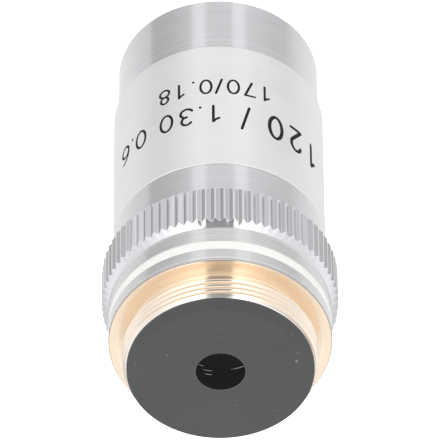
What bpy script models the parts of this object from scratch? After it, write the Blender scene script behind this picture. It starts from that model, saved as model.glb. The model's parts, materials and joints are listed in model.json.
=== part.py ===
"""Spring-loaded oil-immersion microscope objective.

Metres, +Z up. The optical axis is +Z and points to the rear, where the
thread is, so the nose hangs down as it does under a microscope's turret.
The origin is the centre of the flat shoulder that seats on the turret.
"""

import math

import bmesh
import bpy
from mathutils import Matrix, Vector

# Driving dimensions

THREAD_DIAMETER = 0.02032       # society thread, 0.8 inch
THREAD_PITCH = 0.0007056        # 36 turns to the inch
THREAD_DEPTH = 0.00045
THREAD_FLANK_ANGLE = math.radians(27.5)
THREAD_LENGTH = 0.0026
UNDERCUT_LENGTH = 0.00105

BODY_DIAMETER = 0.02326
KNURL_DIAMETER = 0.02472
BARREL_DIAMETER = 0.02232
LENS_TUBE_DIAMETER = 0.0138

LOWER_RING_LENGTH = 0.0018      # shoulder to colour ring
COLOUR_RING_LENGTH = 0.0013
UPPER_RING_LENGTH = 0.00196     # colour ring to knurled ring
KNURL_LENGTH = 0.00568
BAND_LENGTH = 0.00482
BARREL_LENGTH = 0.01867

PARFOCAL_DISTANCE = 0.045       # shoulder to specimen
WORKING_DISTANCE = 0.0002
FRONT_CONE_LENGTH = 0.00248
TRAVEL = 0.002                  # how far the nose springs back

KNURL_TEETH = 80
KNURL_DEPTH = 0.00036
KNURL_LAND = 0.14               # share of the pitch left as a land

LIGHT_HOLE_DIAMETER = 0.0051
STOP_DISC_DIAMETER = 0.01948
STOP_DISC_THICKNESS = 0.00043   # at its rim
STOP_DISC_CROWN = 0.00025       # rise of its face towards the hole

# Clearances

FIT_GAP = 0.00005               # radial, between parts that stay together
FACE_GAP = 0.00003              # axial, between parts that stay together
SLIDE_GAP = 0.00006             # radial, where the nose slides
STOP_GAP = 0.0001               # axial, at the slide's stop

# Wall and lip sizes

FLANGE_THICKNESS = 0.0003
FLANGE_CHAMFER = 0.00024
MOUNT_WALL = 0.00155            # thread crest to bore
MOUNT_SPIGOT_STEP = 0.00026
MOUNT_SPIGOT_LENGTH = 0.0039
SEAT_RELIEF_SHARE = 0.41        # share of the shoulder's width that is turned back
SEAT_RELIEF_DEPTH = 0.00004
DISC_SPIGOT_STEP = 0.0004
DISC_SPIGOT_LENGTH = 0.0025
COLOUR_RING_DEPTH = 0.00029
COLOUR_RING_INSET = 0.00002
BARREL_WALL = 0.00044
BARREL_STEP = 0.00004           # barrel stands proud of the polished band
SPIGOT_STEP = 0.00081           # barrel radius to body spigot radius
BARREL_SEAT_LENGTH = 0.0033
KNURL_WALL = 0.00186            # crest to bore
KNURL_REAR_CONE = 0.00069
KNURL_REAR_DROP = 0.00075
KNURL_FRONT_TAPER = 0.0009
KNURL_FRONT_DROP = 0.0004
NOSE_WALL = 0.00066
NOSE_ROUND = 0.0004
NOSE_SLEEVE_OVERLAP = 0.01
NOSE_WEB_LENGTH = 0.007
TUBE_WALL = 0.0013
TUBE_FLANGE_LENGTH = 0.002
TUBE_TAIL_LENGTH = 0.0019
SPRING_WIRE = 0.00055
SPRING_TURNS = 3.6
SPRING_CLEARANCE = 0.00055
GUIDE_LENGTH = 0.0062
SHIM_THICKNESS = 0.0003
RETAINER_THICKNESS = 0.00125
EDGE = 0.0001                   # small broken edges

# Mesh resolution

OUTER_SEGMENTS = 42
INNER_SEGMENTS = 24
LENS_RINGS = 2
SPRING_SEGMENTS = 16
SPRING_SIDES = 5
SHARP_ANGLE = math.radians(32)

# Radii worked out from the driving dimensions

THREAD_R = THREAD_DIAMETER / 2
THREAD_ROOT_R = THREAD_R - THREAD_DEPTH
UNDERCUT_R = THREAD_ROOT_R - 0.00014
MOUNT_BORE_R = THREAD_R - MOUNT_WALL
MOUNT_SPIGOT_R = THREAD_R - MOUNT_SPIGOT_STEP
BODY_R = BODY_DIAMETER / 2
SEAT_INNER_R = UNDERCUT_R + SEAT_RELIEF_SHARE * (BODY_R - UNDERCUT_R)
KNURL_R = KNURL_DIAMETER / 2
KNURL_BORE_R = KNURL_R - KNURL_WALL
KNURL_SEAT_R = KNURL_BORE_R - FIT_GAP
BARREL_R = BARREL_DIAMETER / 2
BARREL_BORE_R = BARREL_R - BARREL_WALL
BAND_R = BARREL_R - BARREL_STEP
SPIGOT_R = BARREL_R - SPIGOT_STEP
SLEEVE_BORE_R = SPIGOT_R + FIT_GAP
NOSE_R = BARREL_BORE_R - SLIDE_GAP
NOSE_BORE_R = NOSE_R - NOSE_WALL
TUBE_R = LENS_TUBE_DIAMETER / 2
TUBE_BORE_R = TUBE_R - TUBE_WALL
CELL_R = TUBE_BORE_R - FIT_GAP
GUIDE_R = TUBE_R + SLIDE_GAP
SPRING_R = TUBE_R + SPRING_CLEARANCE + SPRING_WIRE / 2
CHAMBER_R = SPRING_R + SPRING_WIRE / 2 + SPRING_CLEARANCE
TUBE_FLANGE_R = CHAMBER_R - FIT_GAP * 2
RETAINER_R = CHAMBER_R - FIT_GAP
RETAINER_BORE_R = TUBE_R - 0.0019

# Heights worked out from the driving dimensions

MOUNT_TOP_Z = UNDERCUT_LENGTH + THREAD_LENGTH
STOP_RIM_Z = MOUNT_TOP_Z + STOP_DISC_THICKNESS
COLOUR_TOP_Z = -LOWER_RING_LENGTH
COLOUR_BOTTOM_Z = COLOUR_TOP_Z - COLOUR_RING_LENGTH
KNURL_TOP_Z = COLOUR_BOTTOM_Z - UPPER_RING_LENGTH
BAND_TOP_Z = KNURL_TOP_Z - KNURL_LENGTH
BARREL_TOP_Z = BAND_TOP_Z - BAND_LENGTH
BARREL_BOTTOM_Z = BARREL_TOP_Z - BARREL_LENGTH
TIP_Z = WORKING_DISTANCE - PARFOCAL_DISTANCE
NOSE_BOTTOM_Z = TIP_Z + FRONT_CONE_LENGTH
NOSE_TOP_Z = BARREL_BOTTOM_Z + NOSE_SLEEVE_OVERLAP
SPIGOT_BOTTOM_Z = BARREL_TOP_Z - BARREL_SEAT_LENGTH
GUIDE_TOP_Z = SPIGOT_BOTTOM_Z + GUIDE_LENGTH
SHIM_BOTTOM_Z = GUIDE_TOP_Z + FACE_GAP
SHIM_TOP_Z = SHIM_BOTTOM_Z + SHIM_THICKNESS
TUBE_FLANGE_BOTTOM_Z = SHIM_TOP_Z + STOP_GAP
TUBE_FLANGE_TOP_Z = TUBE_FLANGE_BOTTOM_Z + TUBE_FLANGE_LENGTH
TUBE_TOP_Z = TUBE_FLANGE_TOP_Z + TUBE_TAIL_LENGTH
TUBE_BOTTOM_Z = NOSE_BOTTOM_Z + FACE_GAP
MOUNT_SPIGOT_BOTTOM_Z = -MOUNT_SPIGOT_LENGTH
RETAINER_TOP_Z = MOUNT_SPIGOT_BOTTOM_Z - 0.00015
RETAINER_BOTTOM_Z = RETAINER_TOP_Z - RETAINER_THICKNESS

# Guide screw, in the body's spigot wall

SCREW_Z = GUIDE_TOP_Z - 0.0016
SCREW_R = 0.0005
SCREW_HEAD_R = 0.0009
SCREW_HEAD_DEPTH = 0.0007
SCREW_TIP_R = TUBE_BORE_R + 0.0005      # wall left under the keyway
SCREW_SLOT_WIDTH = 0.00025
SCREW_SLOT_DEPTH = 0.0003
KEYWAY_FLOOR_R = SCREW_TIP_R - 0.00015
KEYWAY_HALF_WIDTH = SCREW_R + 0.0001

# Optical groups, from the front

FRONT_LENS_R = 0.001
FRONT_LENS_HEIGHT = 0.00166     # flat face to top of the ball
FRONT_CELL_R = 0.002
FRONT_CELL_FLANGE_LENGTH = 0.0006
CAP_R = 0.0094
CAP_RIM_LENGTH = 0.00025
CAP_TIP_R = 0.0026
CAP_SEAT_HEIGHT = 0.0024        # tip to the seat of the front cell
CAP_SPIGOT_LENGTH = 0.002
CAP_SPIGOT_WALL = 0.00105
CAP_BORE_R = CELL_R - CAP_SPIGOT_WALL
FRONT_CELL_FLANGE_R = CAP_BORE_R - FIT_GAP * 2

LENS_LIP = 0.00045              # how far a cell's lip reaches over its lens
LENS_SEAT_GAP = 0.00005
LENS_EDGE = 0.00035             # edge of a lens that is thickest in the middle
LENS_MIDDLE = 0.0007            # middle of a lens that is thickest at its edge
CEMENT_GAP = 0.00002

MENISCUS_R = 0.0024
MENISCUS_FRONT_CURVE = 0.005
MENISCUS_REAR_CURVE = 0.003
MENISCUS_MIDDLE = 0.0014
MENISCUS_CELL_LENGTH = 0.0031
MENISCUS_LIP_LENGTH = 0.0007
MENISCUS_FLARE = 0.0009

DOUBLET_A_WALL = 0.0016
DOUBLET_A_R = CELL_R - DOUBLET_A_WALL
DOUBLET_A_CEMENT_BEND = 1.37    # curve radius over lens radius
DOUBLET_A_REAR_BEND = 1.9
DOUBLET_A_CELL_LENGTH = 0.0051
DOUBLET_A_LIP_LENGTH = 0.00055
DOUBLET_A_FLARE = 0.00085

SPACER_LENGTH = 0.0044
SPACER_WALL = 0.0009

DOUBLET_B_WALL = 0.0012
DOUBLET_B_R = CELL_R - DOUBLET_B_WALL
DOUBLET_B_FRONT_BEND = 2.1
DOUBLET_B_CEMENT_BEND = 1.85
DOUBLET_B_REAR_BEND = 7.0
DOUBLET_B_CELL_LENGTH = 0.0047
DOUBLET_B_LIP_LENGTH = 0.0014
DOUBLET_B_FLARE = 0.00055

BAFFLE_WALL = 0.0007
BAFFLE_LIP = 0.0018             # how far the rear aperture's lip reaches in
BAFFLE_LIP_LENGTH = 0.0004
BAFFLE_LIP_DROP = 0.0022
LOCK_RING_WALL = 0.0011
LOCK_RING_LENGTH = 0.0014
LOCK_RING_DROP = 0.0043         # lock ring's top below the tube's top
SPANNER_SLOT_WIDTH = 0.0008
SPANNER_SLOT_DEPTH = 0.0005

CELL_1_Z = TUBE_BOTTOM_Z + CAP_SPIGOT_LENGTH + FACE_GAP
CELL_2_Z = CELL_1_Z + MENISCUS_CELL_LENGTH + FACE_GAP
SPACER_Z = CELL_2_Z + DOUBLET_A_CELL_LENGTH + FACE_GAP
CELL_3_Z = SPACER_Z + SPACER_LENGTH + FACE_GAP
BAFFLE_Z = CELL_3_Z + DOUBLET_B_CELL_LENGTH + FACE_GAP
LOCK_RING_TOP_Z = TUBE_TOP_Z - LOCK_RING_DROP
LOCK_RING_Z = LOCK_RING_TOP_Z - LOCK_RING_LENGTH
BAFFLE_TOP_Z = LOCK_RING_Z - FACE_GAP


def remove_old_objects():
    for old in list(bpy.data.objects):
        bpy.data.objects.remove(old, do_unlink=True)


def finish(name, colour, roughness, metallic, transmission=0.0):
    material = bpy.data.materials.new(name)
    material.use_nodes = True
    shader = material.node_tree.nodes["Principled BSDF"]
    shader.inputs["Base Color"].default_value = (*colour, 1.0)
    shader.inputs["Roughness"].default_value = roughness
    shader.inputs["Metallic"].default_value = metallic
    shader.inputs["Transmission Weight"].default_value = transmission
    return material


def make_object(name, mesh_tool, material):
    """Turns a bmesh into an object with outward faces and smooth round sides."""
    bmesh.ops.recalc_face_normals(mesh_tool, faces=mesh_tool.faces)
    mesh = bpy.data.meshes.new(name)
    mesh_tool.to_mesh(mesh)
    mesh_tool.free()
    mesh.shade_smooth()
    mesh.set_sharp_from_angle(angle=SHARP_ANGLE)
    mesh.materials.append(material)
    made = bpy.data.objects.new(name, mesh)
    bpy.context.collection.objects.link(made)
    return made


def spun(outline, segments, closed=True):
    """Spins an outline of (radius, height) points once round the Z axis."""
    mesh_tool = bmesh.new()
    verts = [mesh_tool.verts.new((radius, 0.0, height)) for radius, height in outline]
    edges = [mesh_tool.edges.new(pair) for pair in zip(verts, verts[1:])]
    if closed:
        edges.append(mesh_tool.edges.new((verts[-1], verts[0])))
    bmesh.ops.spin(mesh_tool, geom=verts + edges, cent=(0, 0, 0), axis=(0, 0, 1),
                   angle=2 * math.pi, steps=segments, use_merge=True)
    bmesh.ops.remove_doubles(mesh_tool, verts=mesh_tool.verts, dist=1e-6)
    return mesh_tool


def turned(name, outline, material, segments=INNER_SEGMENTS):
    """A ring or tube: the outline is a closed loop that stays off the axis."""
    return make_object(name, spun(outline, segments), material)


def cut(target, cutter):
    """Subtracts the cutter, which stays in the file as a hidden wire guide."""
    cutter.hide_render = True
    cutter.display_type = "WIRE"
    modifier = target.modifiers.new(cutter.name, "BOOLEAN")
    modifier.operation = "DIFFERENCE"
    modifier.solver = "EXACT"
    modifier.object = cutter


def box_cutter(name, low, high, material):
    mesh_tool = bmesh.new()
    size = Vector(high) - Vector(low)
    centre = (Vector(high) + Vector(low)) / 2
    place = Matrix.Translation(centre) @ Matrix.Diagonal((*size, 1.0))
    bmesh.ops.create_cube(mesh_tool, size=1.0, matrix=place)
    return make_object(name, mesh_tool, material)


def sag(radius, curve_radius):
    """Depth of a spherical surface at a distance from its axis."""
    return curve_radius - math.sqrt(curve_radius ** 2 - radius ** 2)


def lens(name, half_diameter, front, rear, material):
    """A lens between two spherical surfaces.

    Each surface is (vertex height, curve radius, bend): bend is 1 where the
    edge lies above the vertex, -1 where it lies below, 0 for a flat surface.
    """
    def surface(shape, radius):
        vertex, curve_radius, bend = shape
        if bend == 0:
            return vertex
        return vertex + bend * sag(radius, curve_radius)

    steps = [half_diameter * i / LENS_RINGS for i in range(LENS_RINGS + 1)]
    outline = [(radius, surface(front, radius)) for radius in steps]
    outline += [(radius, surface(rear, radius)) for radius in reversed(steps)]
    return make_object(name, spun(outline, INNER_SEGMENTS, closed=False), material)


def helix_sweep(section, start_z, end_z, pitch, segments):
    """Sweeps a closed (radius, height) section along a right-handed helix."""
    mesh_tool = bmesh.new()
    turns = (end_z - start_z) / pitch
    steps = round(turns * segments)
    rings = []
    for i in range(steps + 1):
        angle = 2 * math.pi * i / segments
        rise = start_z + pitch * i / segments
        ring = [mesh_tool.verts.new((radius * math.cos(angle), radius * math.sin(angle), rise + height))
                for radius, height in section]
        rings.append(ring)
    count = len(section)
    for lower, upper in zip(rings, rings[1:]):
        for j in range(count):
            k = (j + 1) % count
            mesh_tool.faces.new((lower[j], lower[k], upper[k]))
            mesh_tool.faces.new((lower[j], upper[k], upper[j]))
    mesh_tool.faces.new(rings[0])
    mesh_tool.faces.new(rings[-1])
    return mesh_tool


def thread_mount(brass):
    """The brass part that screws into the turret, with its flat shoulder."""
    counterbore_r = MOUNT_BORE_R + DISC_SPIGOT_STEP
    counterbore_z = MOUNT_TOP_Z - DISC_SPIGOT_LENGTH
    crest_chamfer = THREAD_R - STOP_DISC_DIAMETER / 2 - EDGE / 2
    outline = [
        (counterbore_r, MOUNT_TOP_Z),
        (THREAD_R - crest_chamfer, MOUNT_TOP_Z),
        (THREAD_R, MOUNT_TOP_Z - crest_chamfer),
        (THREAD_R, UNDERCUT_LENGTH),
        (UNDERCUT_R, UNDERCUT_LENGTH - (THREAD_R - UNDERCUT_R) / 2),
        (UNDERCUT_R, -SEAT_RELIEF_DEPTH),
        (SEAT_INNER_R, -SEAT_RELIEF_DEPTH),
        (SEAT_INNER_R, 0.0),
        (BODY_R - FLANGE_CHAMFER, 0.0),
        (BODY_R, -FLANGE_CHAMFER),
        (BODY_R, -FLANGE_THICKNESS),
        (MOUNT_SPIGOT_R, -FLANGE_THICKNESS),
        (MOUNT_SPIGOT_R, MOUNT_SPIGOT_BOTTOM_Z + EDGE),
        (MOUNT_SPIGOT_R - EDGE, MOUNT_SPIGOT_BOTTOM_Z),
        (MOUNT_BORE_R, MOUNT_SPIGOT_BOTTOM_Z),
        (MOUNT_BORE_R, counterbore_z),
        (counterbore_r, counterbore_z),
    ]
    made = turned("thread_mount", outline, brass, OUTER_SEGMENTS)

    reach = 0.0001
    root_half = 0.00004
    outer_half = root_half + (THREAD_DEPTH + reach) * math.tan(THREAD_FLANK_ANGLE)
    groove = [
        (THREAD_ROOT_R, -root_half),
        (THREAD_R + reach, -outer_half),
        (THREAD_R + reach, outer_half),
        (THREAD_ROOT_R, root_half),
    ]
    start_z = UNDERCUT_LENGTH - THREAD_PITCH
    end_z = MOUNT_TOP_Z + THREAD_PITCH
    sweep = helix_sweep(groove, start_z, end_z, THREAD_PITCH, OUTER_SEGMENTS)
    cut(made, make_object("thread_groove_cutter", sweep, brass))
    return made


def rear_stop_disc(black):
    """The black plug that closes the rear and leaves the light hole."""
    disc_r = STOP_DISC_DIAMETER / 2
    spigot_r = MOUNT_BORE_R + DISC_SPIGOT_STEP - FIT_GAP
    bottom_z = MOUNT_TOP_Z - DISC_SPIGOT_LENGTH + FACE_GAP
    hole_r = LIGHT_HOLE_DIAMETER / 2
    bevel = 0.0001
    groove_pitch = 0.001
    groove_depth = 0.00015
    outline = [
        (hole_r + bevel, STOP_RIM_Z + STOP_DISC_CROWN),
        (disc_r - EDGE / 2, STOP_RIM_Z),
        (disc_r, STOP_RIM_Z - EDGE / 2),
        (disc_r, MOUNT_TOP_Z + FACE_GAP),
        (spigot_r, MOUNT_TOP_Z + FACE_GAP),
        (spigot_r, bottom_z),
        (hole_r + groove_depth, bottom_z),
    ]
    grooves = int((STOP_RIM_Z - bottom_z) / groove_pitch)
    for i in range(1, grooves):
        outline.append((hole_r, bottom_z + groove_pitch * (i - 0.5)))
        outline.append((hole_r + groove_depth, bottom_z + groove_pitch * i))
    outline.append((hole_r, STOP_RIM_Z + STOP_DISC_CROWN - bevel))
    return turned("rear_stop_disc", outline, black, OUTER_SEGMENTS)


def mount_body(chrome):
    """The plated body: two rings round the colour ring's groove, and the spigot that carries the rest."""
    groove_r = BODY_R - COLOUR_RING_DEPTH
    outline = [
        (BODY_R, -FLANGE_THICKNESS - FACE_GAP),
        (BODY_R, COLOUR_TOP_Z),
        (groove_r, COLOUR_TOP_Z),
        (groove_r, COLOUR_BOTTOM_Z),
        (BODY_R, COLOUR_BOTTOM_Z),
        (BODY_R, KNURL_TOP_Z + FACE_GAP),
        (KNURL_SEAT_R, KNURL_TOP_Z + FACE_GAP),
        (KNURL_SEAT_R, BAND_TOP_Z + FACE_GAP),
        (SPIGOT_R, BAND_TOP_Z + FACE_GAP),
        (SPIGOT_R, SPIGOT_BOTTOM_Z + EDGE),
        (SPIGOT_R - EDGE, SPIGOT_BOTTOM_Z),
        (GUIDE_R, SPIGOT_BOTTOM_Z),
        (GUIDE_R, GUIDE_TOP_Z),
        (CHAMBER_R, GUIDE_TOP_Z),
        (CHAMBER_R, MOUNT_SPIGOT_BOTTOM_Z - FACE_GAP),
        (MOUNT_SPIGOT_R + FIT_GAP, MOUNT_SPIGOT_BOTTOM_Z - FACE_GAP),
        (MOUNT_SPIGOT_R + FIT_GAP, -FLANGE_THICKNESS - FACE_GAP),
    ]
    made = turned("mount_body", outline, chrome, OUTER_SEGMENTS)
    head_floor_r = SPIGOT_R - EDGE - SCREW_HEAD_DEPTH - FACE_GAP
    hole = [
        (0.0, GUIDE_R - 0.001),
        (SCREW_R + FIT_GAP, GUIDE_R - 0.001),
        (SCREW_R + FIT_GAP, head_floor_r),
        (SCREW_HEAD_R + FIT_GAP, head_floor_r),
        (SCREW_HEAD_R + FIT_GAP, SPIGOT_R + 0.001),
        (0.0, SPIGOT_R + 0.001),
    ]
    cut(made, radial_piece("guide_screw_hole_cutter", hole, chrome))
    return made


def radial_piece(name, outline, material):
    """A turned piece whose axis points out along +X at the guide screw's height."""
    mesh_tool = spun(outline, 16, closed=False)
    place = Matrix.Translation((0, 0, SCREW_Z)) @ Matrix.Rotation(math.radians(90), 4, "Y")
    bmesh.ops.transform(mesh_tool, matrix=place, verts=mesh_tool.verts)
    return make_object(name, mesh_tool, material)


def guide_screw(steel):
    """Keeps the lens tube from turning, and limits nothing else."""
    head_r = SPIGOT_R - EDGE
    floor_r = head_r - SCREW_HEAD_DEPTH
    outline = [
        (0.0, SCREW_TIP_R),
        (SCREW_R - EDGE, SCREW_TIP_R),
        (SCREW_R, SCREW_TIP_R + EDGE),
        (SCREW_R, floor_r),
        (SCREW_HEAD_R, floor_r),
        (SCREW_HEAD_R, head_r - EDGE),
        (SCREW_HEAD_R - EDGE, head_r),
        (0.0, head_r),
    ]
    made = radial_piece("guide_screw", outline, steel)
    half = SCREW_SLOT_WIDTH / 2
    low = (head_r - SCREW_SLOT_DEPTH, -0.002, SCREW_Z - half)
    high = (head_r + 0.001, 0.002, SCREW_Z + half)
    cut(made, box_cutter("guide_screw_slot_cutter", low, high, steel))
    return made


def colour_ring(enamel):
    """The pale ring that marks the magnification."""
    inner_r = BODY_R - COLOUR_RING_DEPTH + FIT_GAP
    outer_r = BODY_R - COLOUR_RING_INSET
    outline = [
        (inner_r, COLOUR_TOP_Z - FACE_GAP),
        (outer_r, COLOUR_TOP_Z - FACE_GAP),
        (outer_r, COLOUR_BOTTOM_Z + FACE_GAP),
        (inner_r, COLOUR_BOTTOM_Z + FACE_GAP),
    ]
    return turned("colour_ring", outline, enamel, OUTER_SEGMENTS)


def knurled_ring(chrome):
    """The grip: straight V grooves cut through a cone at the rear and a taper in front."""
    root_r = KNURL_R - KNURL_DEPTH
    rear_slope = KNURL_REAR_CONE / KNURL_REAR_DROP
    front_r = KNURL_R - KNURL_FRONT_DROP
    front_slope = KNURL_FRONT_TAPER / KNURL_FRONT_DROP
    bottom_z = BAND_TOP_Z + FACE_GAP
    rear_land_z = KNURL_TOP_Z - KNURL_REAR_CONE
    rear_root_z = rear_land_z + KNURL_DEPTH * rear_slope
    front_land_z = bottom_z + KNURL_FRONT_TAPER
    front_root_z = front_land_z - KNURL_DEPTH * front_slope

    pitch = 2 * math.pi / KNURL_TEETH
    corners = []
    for tooth in range(KNURL_TEETH):
        start = tooth * pitch
        corners.append((start, False))
        corners.append((start + pitch * KNURL_LAND, False))
        corners.append((start + pitch * (1 + KNURL_LAND) / 2, True))

    mesh_tool = bmesh.new()

    def level(land, root):
        ring = []
        for angle, is_root in corners:
            radius, height = root if is_root else land
            ring.append(mesh_tool.verts.new((radius * math.cos(angle), radius * math.sin(angle), height)))
        return ring

    def circle(radius, height):
        ring = []
        for tooth in range(KNURL_TEETH):
            angle = tooth * pitch
            ring.append(mesh_tool.verts.new((radius * math.cos(angle), radius * math.sin(angle), height)))
        return ring

    def join(first, second):
        for i in range(len(first)):
            k = (i + 1) % len(first)
            mesh_tool.faces.new((first[i], first[k], second[k]))
            mesh_tool.faces.new((first[i], second[k], second[i]))

    def fan(coarse, fine):
        for i in range(KNURL_TEETH):
            k = (i + 1) % KNURL_TEETH
            a, b, c, d = (fine[(3 * i + j) % len(fine)] for j in range(4))
            mesh_tool.faces.new((coarse[i], a, b))
            mesh_tool.faces.new((coarse[i], b, c))
            mesh_tool.faces.new((coarse[i], c, coarse[k]))
            mesh_tool.faces.new((c, d, coarse[k]))

    bore_top = circle(KNURL_BORE_R, KNURL_TOP_Z)
    cone_top = circle(KNURL_R - KNURL_REAR_DROP, KNURL_TOP_Z)
    rear = level((KNURL_R, rear_land_z), (root_r, rear_root_z))
    front = level((KNURL_R, front_land_z), (root_r, front_root_z))
    face = level((front_r, bottom_z), (front_r, bottom_z))
    bore_bottom = circle(KNURL_BORE_R, bottom_z)
    join(bore_top, cone_top)
    fan(cone_top, rear)
    join(rear, front)
    join(front, face)
    fan(bore_bottom, face)
    join(bore_bottom, bore_top)
    return make_object("knurled_ring", mesh_tool, chrome)


def polished_band(chrome):
    """The bright sleeve between the grip and the satin barrel."""
    outline = [
        (SLEEVE_BORE_R, BAND_TOP_Z),
        (BAND_R, BAND_TOP_Z),
        (BAND_R, BARREL_TOP_Z + FACE_GAP),
        (SLEEVE_BORE_R, BARREL_TOP_Z + FACE_GAP),
    ]
    return turned("polished_band", outline, chrome, OUTER_SEGMENTS)


def outer_barrel(satin):
    """The satin tube that screws on the body's spigot and carries the figures."""
    seat_z = SPIGOT_BOTTOM_Z - FACE_GAP
    chamfer = 0.00015
    outline = [
        (SLEEVE_BORE_R, BARREL_TOP_Z),
        (BARREL_R - EDGE, BARREL_TOP_Z),
        (BARREL_R, BARREL_TOP_Z - EDGE),
        (BARREL_R, BARREL_BOTTOM_Z + chamfer),
        (BARREL_R - chamfer, BARREL_BOTTOM_Z),
        (BARREL_BORE_R, BARREL_BOTTOM_Z),
        (BARREL_BORE_R, seat_z),
        (SLEEVE_BORE_R, seat_z),
    ]
    return turned("outer_barrel", outline, satin, OUTER_SEGMENTS)


def spanner_slots(target, inner_r, outer_r, top_z, material):
    """Two slots across a ring nut's top face, for a pin spanner."""
    half = SPANNER_SLOT_WIDTH / 2
    for side, name in ((1, "a"), (-1, "b")):
        near = side * (inner_r - 0.0005)
        far = side * (outer_r + 0.0005)
        low = (min(near, far), -half, top_z - SPANNER_SLOT_DEPTH)
        high = (max(near, far), half, top_z + 0.0005)
        cut(target, box_cutter(f"{target.name}_slot_cutter_{name}", low, high, material))


def spring_retainer(black_brass):
    """The ring nut in the body that the spring pushes against."""
    outline = [
        (RETAINER_BORE_R, RETAINER_BOTTOM_Z),
        (RETAINER_R, RETAINER_BOTTOM_Z),
        (RETAINER_R, RETAINER_TOP_Z),
        (RETAINER_BORE_R + EDGE, RETAINER_TOP_Z),
        (RETAINER_BORE_R, RETAINER_TOP_Z - EDGE),
    ]
    made = turned("spring_retainer", outline, black_brass)
    spanner_slots(made, RETAINER_BORE_R, RETAINER_R, RETAINER_TOP_Z, black_brass)
    return made


def parfocal_shim(steel):
    """The ring that the lens tube's flange rests on; its thickness sets parfocality."""
    outline = [
        (GUIDE_R + FIT_GAP, SHIM_BOTTOM_Z),
        (CHAMBER_R - FIT_GAP, SHIM_BOTTOM_Z),
        (CHAMBER_R - FIT_GAP, SHIM_TOP_Z),
        (GUIDE_R + FIT_GAP, SHIM_TOP_Z),
    ]
    return turned("parfocal_shim", outline, steel)


def retraction_spring(steel):
    """The coil spring that pushes the nose forward."""
    wire_r = SPRING_WIRE / 2
    section = []
    for j in range(SPRING_SIDES):
        angle = 2 * math.pi * j / SPRING_SIDES
        section.append((SPRING_R + wire_r * math.cos(angle), wire_r * math.sin(angle)))
    start_z = TUBE_FLANGE_TOP_Z + wire_r + FACE_GAP
    end_z = RETAINER_BOTTOM_Z - wire_r - FACE_GAP
    pitch = (end_z - start_z) / SPRING_TURNS
    sweep = helix_sweep(section, start_z, end_z, pitch, SPRING_SEGMENTS)
    return make_object("retraction_spring", sweep, steel)


def lens_tube(brass):
    """The sliding tube that holds every optical cell; its flange rests on the shim."""
    outline = [
        (TUBE_BORE_R, TUBE_BOTTOM_Z),
        (TUBE_R, TUBE_BOTTOM_Z),
        (TUBE_R, TUBE_FLANGE_BOTTOM_Z),
        (TUBE_FLANGE_R, TUBE_FLANGE_BOTTOM_Z),
        (TUBE_FLANGE_R, TUBE_FLANGE_TOP_Z),
        (TUBE_R, TUBE_FLANGE_TOP_Z),
        (TUBE_R, TUBE_TOP_Z - EDGE),
        (TUBE_R - EDGE, TUBE_TOP_Z),
        (TUBE_BORE_R, TUBE_TOP_Z),
    ]
    made = turned("lens_tube", outline, brass)
    low = (KEYWAY_FLOOR_R, -KEYWAY_HALF_WIDTH, SCREW_Z - SCREW_R - TRAVEL - STOP_GAP)
    high = (TUBE_R + 0.001, KEYWAY_HALF_WIDTH, SCREW_Z + SCREW_R + STOP_GAP)
    cut(made, box_cutter("lens_tube_keyway_cutter", low, high, brass))
    return made


def nose_sleeve(chrome):
    """The polished sleeve that slides in the barrel, screwed on the lens tube's front."""
    web_top_z = NOSE_BOTTOM_Z + NOSE_WEB_LENGTH
    inner_r = TUBE_R + FIT_GAP
    outline = [
        (inner_r, NOSE_BOTTOM_Z),
        (NOSE_R - NOSE_ROUND, NOSE_BOTTOM_Z),
        (NOSE_R - NOSE_ROUND * 0.3, NOSE_BOTTOM_Z + NOSE_ROUND * 0.3),
        (NOSE_R, NOSE_BOTTOM_Z + NOSE_ROUND),
        (NOSE_R, NOSE_TOP_Z),
        (NOSE_BORE_R, NOSE_TOP_Z),
        (NOSE_BORE_R, web_top_z),
        (inner_r, web_top_z),
    ]
    return turned("nose_sleeve", outline, chrome, OUTER_SEGMENTS)


def front_cap(chrome):
    """The cone round the front lens, screwed into the lens tube."""
    rim_top_z = NOSE_BOTTOM_Z - FACE_GAP
    bore_r = FRONT_CELL_R + FIT_GAP
    seat_z = TIP_Z + CAP_SEAT_HEIGHT
    outline = [
        (bore_r, TIP_Z + EDGE),
        (CAP_TIP_R, TIP_Z + EDGE),
        (CAP_R, rim_top_z - CAP_RIM_LENGTH),
        (CAP_R, rim_top_z),
        (CELL_R, rim_top_z),
        (CELL_R, TUBE_BOTTOM_Z + CAP_SPIGOT_LENGTH),
        (CAP_BORE_R, TUBE_BOTTOM_Z + CAP_SPIGOT_LENGTH),
        (CAP_BORE_R, seat_z),
        (bore_r, seat_z),
    ]
    return turned("front_cap", outline, chrome)


def front_cell(steel):
    """The small steel cell that holds the ball-shaped front lens."""
    seat_z = TIP_Z + CAP_SEAT_HEIGHT + FACE_GAP
    top_z = seat_z + FRONT_CELL_FLANGE_LENGTH
    outline = [
        (FRONT_LENS_R * 0.83, TIP_Z),
        (FRONT_CELL_R - EDGE, TIP_Z),
        (FRONT_CELL_R, TIP_Z + EDGE),
        (FRONT_CELL_R, seat_z),
        (FRONT_CELL_FLANGE_R, seat_z),
        (FRONT_CELL_FLANGE_R, top_z),
        (FRONT_CELL_R * 1.4, top_z),
        (FRONT_LENS_R * 1.07, TIP_Z + FRONT_LENS_HEIGHT),
        (FRONT_LENS_R * 1.07, TIP_Z + FRONT_LENS_R / 2),
    ]
    return turned("front_cell", outline, steel)


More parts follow.
